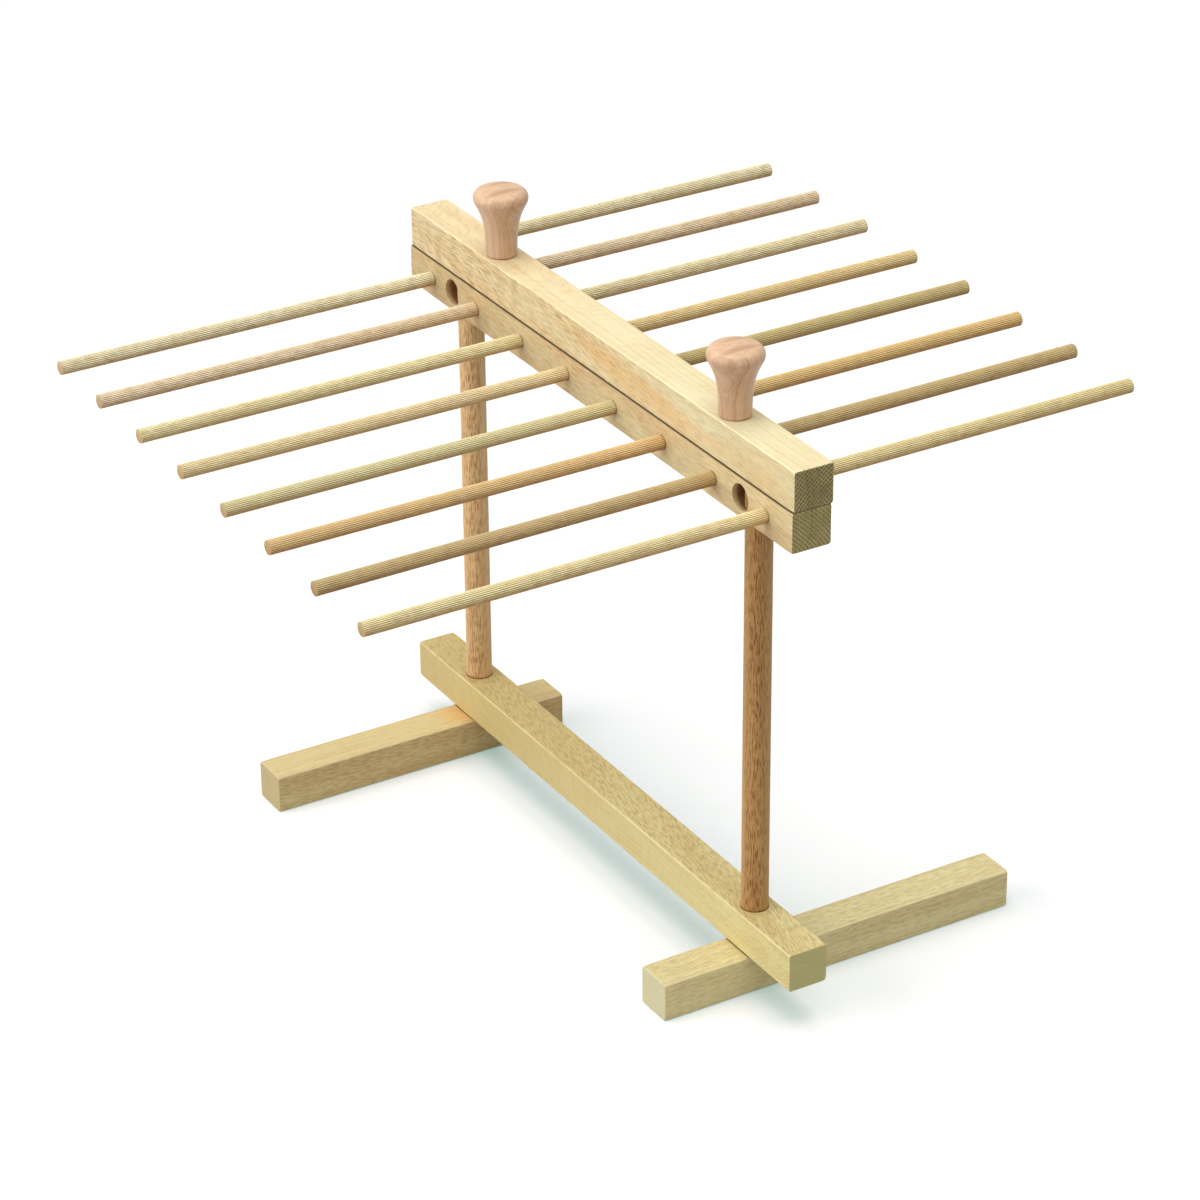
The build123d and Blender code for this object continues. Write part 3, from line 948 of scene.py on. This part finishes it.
# Floor, light and camera
# A white ground that fades into a white room, soft lamps on the left, overhead and faintly in front, and a
# long lens that looks down on the rack from its near left.
def looked_at(recipe):
    """1 for what the camera sees straight, in a gloss or through glass, and 0 for light on its way."""
    camera_ray, _, _, glossy_ray, _, _, transmission_ray = recipe.node("ShaderNodeLightPath")[:7]
    return (camera_ray + glossy_ray + transmission_ray).step("MINIMUM", 1.0)


plain_white = (1.0, 1.0, 1.0, 1.0)
ground_reach = 14
ground = bmesh.new()
bmesh.ops.create_grid(ground, x_segments=1, y_segments=1, size=ground_reach)
floor = as_piece(ground, "floor")
floor_material = bpy.data.materials.new("white_ground")
floor_material.use_nodes = True
floor_material.node_tree.nodes.clear()
paper = Recipe(floor_material.node_tree)
seen = looked_at(paper)
from_rack = paper.vector("LENGTH", paper.node("ShaderNodeTexCoord")[3])
off_rack = paper.rise(from_rack, 0.35, 0.95)
unseen_colour = paper.blend(off_rack, (0.38, 0.37, 0.35, 1.0), (0.25, 0.25, 0.25, 1.0))
unseen = paper.node("ShaderNodeBsdfDiffuse", None, {"Color": unseen_colour})[0]
matt = paper.node("ShaderNodeBsdfDiffuse", None, {"Color": (1.0, 0.79, 0.8, 1.0)})[0]
glow = paper.node("ShaderNodeEmission", None, {"Color": (0.04, 0.25, 0.24, 1.0), "Strength": 1.0})[0]
shadowed = paper.node("ShaderNodeAddShader", None, {0: matt, 1: glow})[0]
ground_look = paper.node("ShaderNodeMixShader", None, {0: seen, 1: unseen, 2: shadowed})[0]
blank = paper.node("ShaderNodeEmission", None, {"Color": plain_white, "Strength": 1.0})[0]
away = paper.rise(from_rack, 0.7, 2.2) * seen
ground_look = paper.node("ShaderNodeMixShader", None, {0: away, 1: ground_look, 2: blank})[0]
below = paper.node("ShaderNodeNewGeometry")[6]
clear = paper.node("ShaderNodeBsdfTransparent")[0]
paper.node("ShaderNodeOutputMaterial", None, {
    0: paper.node("ShaderNodeMixShader", None, {0: below, 1: ground_look, 2: clear})[0],
})
floor.data.materials.append(floor_material)

world = bpy.data.worlds.new("white_room")
bpy.context.scene.world = world
world.use_nodes = True
world.node_tree.nodes.clear()
room = Recipe(world.node_tree)
seen = looked_at(room)
wall_side = room.rise(room.split(room.node("ShaderNodeTexCoord")[0])[0], -0.7, 0.7)
window_wall = room.node("ShaderNodeBackground", None, {"Color": plain_white, "Strength": 0.48})[0]
far_wall = room.node("ShaderNodeBackground", None, {"Color": plain_white, "Strength": 0.2})[0]
dim = room.node("ShaderNodeMixShader", None, {0: wall_side, 1: window_wall, 2: far_wall})[0]
white = room.node("ShaderNodeBackground", None, {"Color": plain_white, "Strength": 1.0})[0]
room.node("ShaderNodeOutputWorld", None, {
    0: room.node("ShaderNodeMixShader", None, {0: seen, 1: dim, 2: white})[0],
})


lamp_aim = Vector((0, 0, 0.25))


def lamp(name, direction, distance, size, level):
    """A square soft lamp that lights a surface facing it to the level, 1 being as bright as its colour."""
    light = bpy.data.lights.new(name, "AREA")
    light.size = size
    light.energy = level * (math.pi * distance) ** 2
    holder = bpy.data.objects.new(name, light)
    bpy.context.scene.collection.objects.link(holder)
    towards = Vector(direction).normalized()
    holder.location = lamp_aim + towards * distance
    holder.rotation_euler = towards.to_track_quat("Z", "Y").to_euler()


lamp("side_box", (-0.9, 0.3, 0.32), 5.0, 5.0, 0.84)
lamp("top_box", (0.03, 0.03, 1.0), 5.0, 4.6, 0.78)
lamp("front_box", (-0.1, -1.0, 0.25), 5.0, 3.0, 0.2)

# The photograph's camera: where it stands, how it is turned, and its focal length in widths of the picture
camera_place = Vector((-1.3271, -2.26794, 1.61601))
azimuth, elevation, roll = math.radians(-30.6028), math.radians(28.092), math.radians(-0.4496)
focal_widths = 4280.23 / 1200
back = Vector((
    math.sin(azimuth) * math.cos(elevation), -math.cos(azimuth) * math.cos(elevation), math.sin(elevation)
))
level_right = (-back).cross(Z).normalized()
level_up = level_right.cross(-back)
right = level_right * math.cos(roll) + level_up * math.sin(roll)
up = level_up * math.cos(roll) - level_right * math.sin(roll)
lens = bpy.data.cameras.new("camera")
lens.sensor_width = 36.0
lens.lens = focal_widths * lens.sensor_width
lens.dof.use_dof = False
camera = bpy.data.objects.new("camera", lens)
bpy.context.scene.collection.objects.link(camera)
camera.matrix_world = Matrix((
    (right.x, up.x, back.x, camera_place.x),
    (right.y, up.y, back.y, camera_place.y),
    (right.z, up.z, back.z, camera_place.z),
    (0, 0, 0, 1),
))
bpy.context.scene.camera = camera
bpy.context.scene.view_settings.view_transform = "Standard"

bpy.context.view_layer.update()
